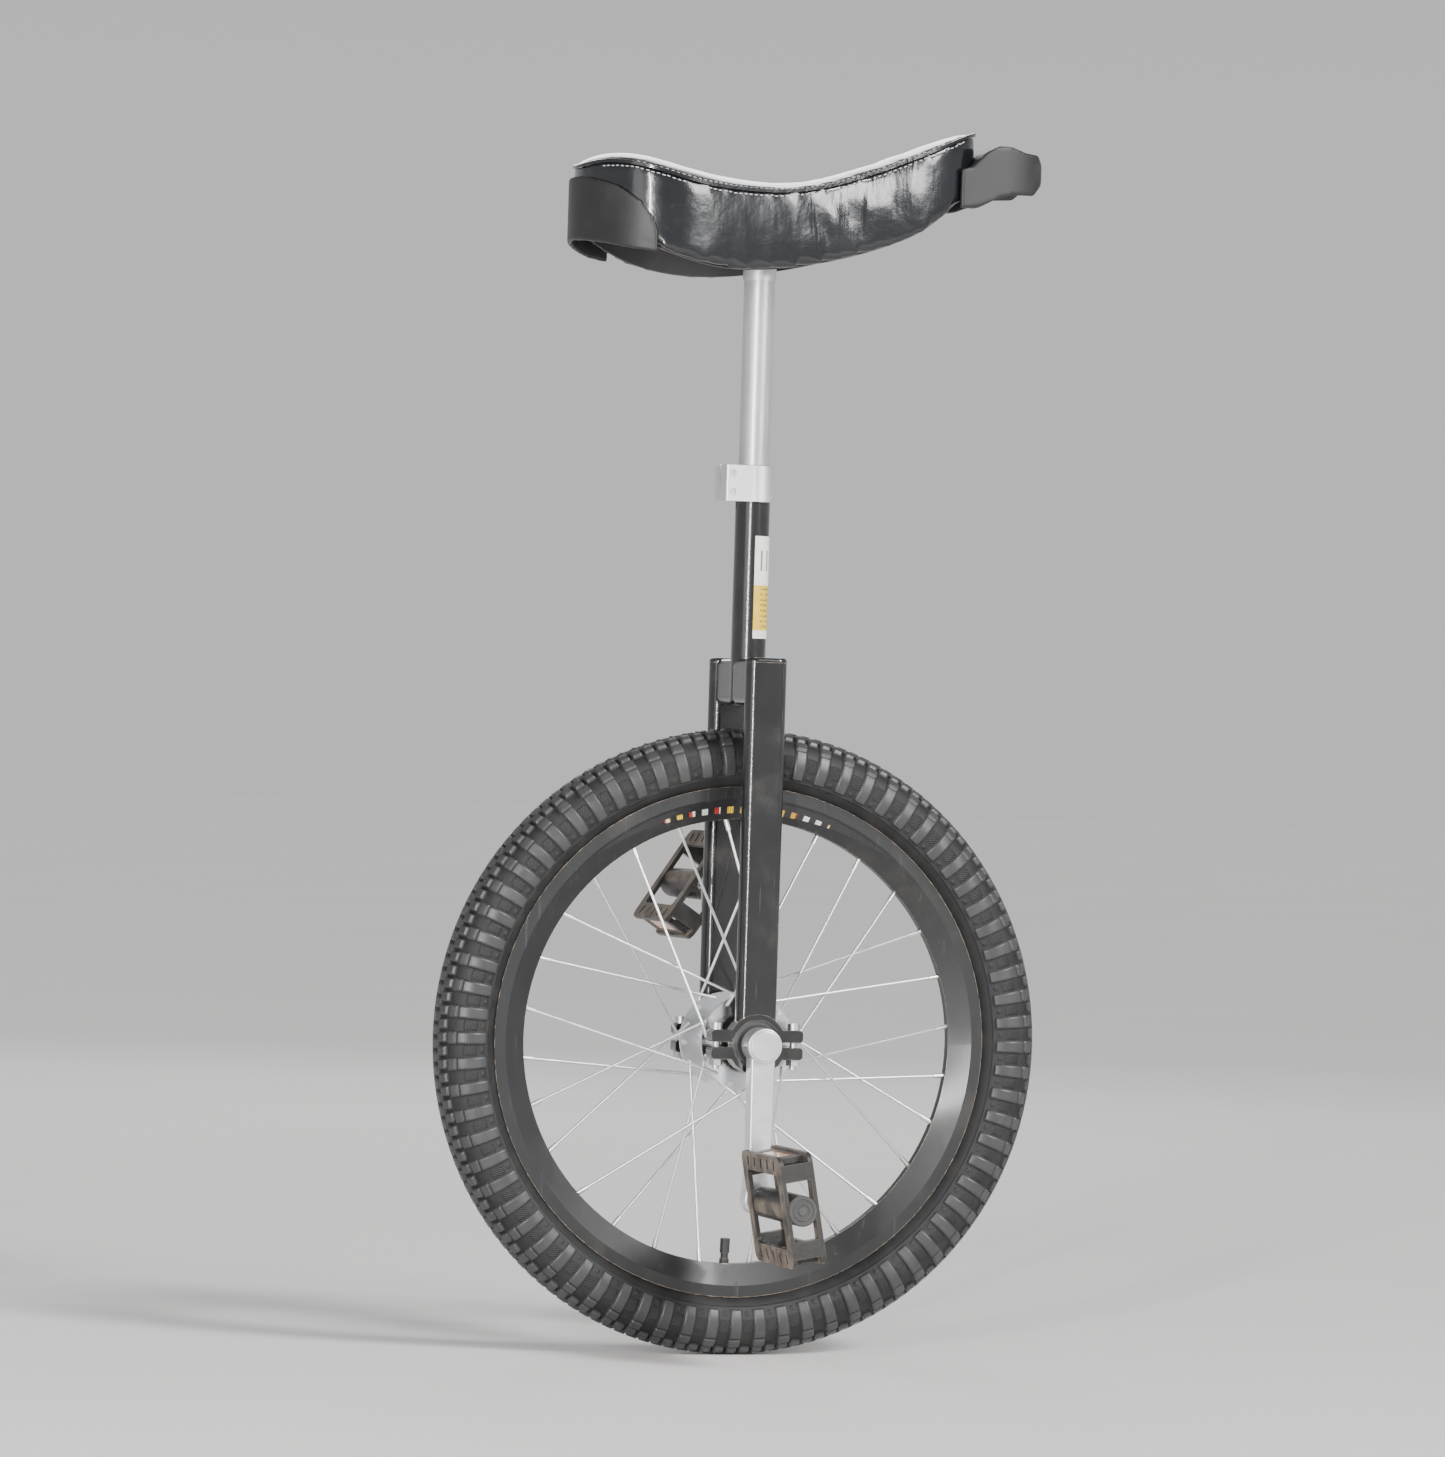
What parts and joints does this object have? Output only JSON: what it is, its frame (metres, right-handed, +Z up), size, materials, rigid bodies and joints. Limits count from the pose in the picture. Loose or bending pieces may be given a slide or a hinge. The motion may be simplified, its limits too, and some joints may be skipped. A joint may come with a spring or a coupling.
{
  "type": "unicycle",
  "caption": "Unicycle with a curved padded saddle, a clamped seat post, a straight-leg fork, a spoked wheel with a block-tread tyre, and cranks with platform pedals.",
  "frame": {"origin": "on the ground under the axle, where the tyre touches", "axes": "+Z up, +X forward towards the saddle's front handle, +Y to the rider's left, along the axle"},
  "size_m": [0.514, 0.3812, 1.0129],
  "materials": {
    "frame_paint": "gloss charcoal paint",
    "zinc_fasteners": "bright zinc plate",
    "bearing_steel": "ground steel",
    "label": "printed plastic film",
    "aluminium": "satin, polished by handling",
    "tyre": "matt black rubber with moulded blocks",
    "black_rubber": "smooth rubber",
    "rim_paint": "satin charcoal paint",
    "rim_decal": "printed plastic film",
    "spoke_steel": "bright plated wire",
    "hub_chrome": "polished chrome",
    "black_plastic": "moulded, slightly worn",
    "amber_reflector": "moulded prisms",
    "saddle_vinyl": "glossy black vinyl",
    "saddle_foam": "open cell foam",
    "bumper_plastic": "satin charcoal plastic"
  },
  "bodies": {
    "frame": {"seat_tube": "frame_paint", "crown_tubes": "frame_paint", "fork_leg_right": "frame_paint", "fork_leg_left": "frame_paint", "leg_caps": "frame_paint", "bearing_holder_right": "frame_paint", "bearing_holder_left": "frame_paint", "bearing_clamp_right": "frame_paint", "bearing_clamp_left": "frame_paint", "bearing_holder_bolts": "zinc_fasteners", "bearing_holder_nuts": "zinc_fasteners", "bearing_outer_races": "bearing_steel", "bearing_shields": "bearing_steel", "seat_tube_label": "label", "seat_clamp": "aluminium", "seat_clamp_bolts": "zinc_fasteners"},
    "wheel": {"tyre": "tyre", "inner_tube": "black_rubber", "rim_strip": "black_rubber", "rim": "rim_paint", "rim_decals": "rim_decal", "valve_stem": "black_rubber", "valve_cap": "black_plastic", "spokes_right": "spoke_steel", "spokes_left": "spoke_steel", "spoke_nipples": "spoke_steel", "hub_shell": "hub_chrome", "hub_axle": "bearing_steel", "bearing_inner_races": "bearing_steel", "bearing_balls": "bearing_steel", "bearing_cages": "bearing_steel", "axle_spacers": "bearing_steel", "crank_right": "aluminium", "crank_left": "aluminium", "crank_bolts": "zinc_fasteners", "crank_dust_caps": "aluminium", "pedal_spindles": "bearing_steel", "pedal_locknuts": "zinc_fasteners"},
    "right_pedal": {"pedal_body_right": "black_plastic", "pedal_cups_right": "bearing_steel", "pedal_balls_right": "bearing_steel", "pedal_end_cap_right": "black_plastic", "pedal_reflectors_right": "amber_reflector"},
    "left_pedal": {"pedal_body_left": "black_plastic", "pedal_cups_left": "bearing_steel", "pedal_balls_left": "bearing_steel", "pedal_end_cap_left": "black_plastic", "pedal_reflectors_left": "amber_reflector"},
    "seat": {"seat_post": "aluminium", "post_bracket": "bearing_steel", "post_collar": "aluminium", "saddle_cover": "saddle_vinyl", "saddle_foam": "saddle_foam", "saddle_base": "black_plastic", "saddle_piping": "saddle_vinyl", "rear_bumper": "bumper_plastic", "front_handle": "bumper_plastic", "saddle_bolts": "zinc_fasteners", "saddle_nuts": "zinc_fasteners", "saddle_washers": "zinc_fasteners"}
  },
  "joints": [
    {"name": "wheel_spin", "type": "hinge", "parent": "frame", "child": "wheel", "pos_m": [0, 0, 0.257], "axis": [0, 1, 0], "continuous": true},
    {"name": "right_pedal_spin", "type": "hinge", "parent": "wheel", "child": "right_pedal", "pos_m": [0, -0.14, 0.132], "axis": [0, 1, 0], "continuous": true},
    {"name": "left_pedal_spin", "type": "hinge", "parent": "wheel", "child": "left_pedal", "pos_m": [0, 0.14, 0.382], "axis": [0, 1, 0], "continuous": true},
    {"name": "seat_post_slide", "type": "slide", "parent": "frame", "child": "seat", "axis": [0, 0, 1], "range_m": [-0.095, 0.04]}
  ]
}
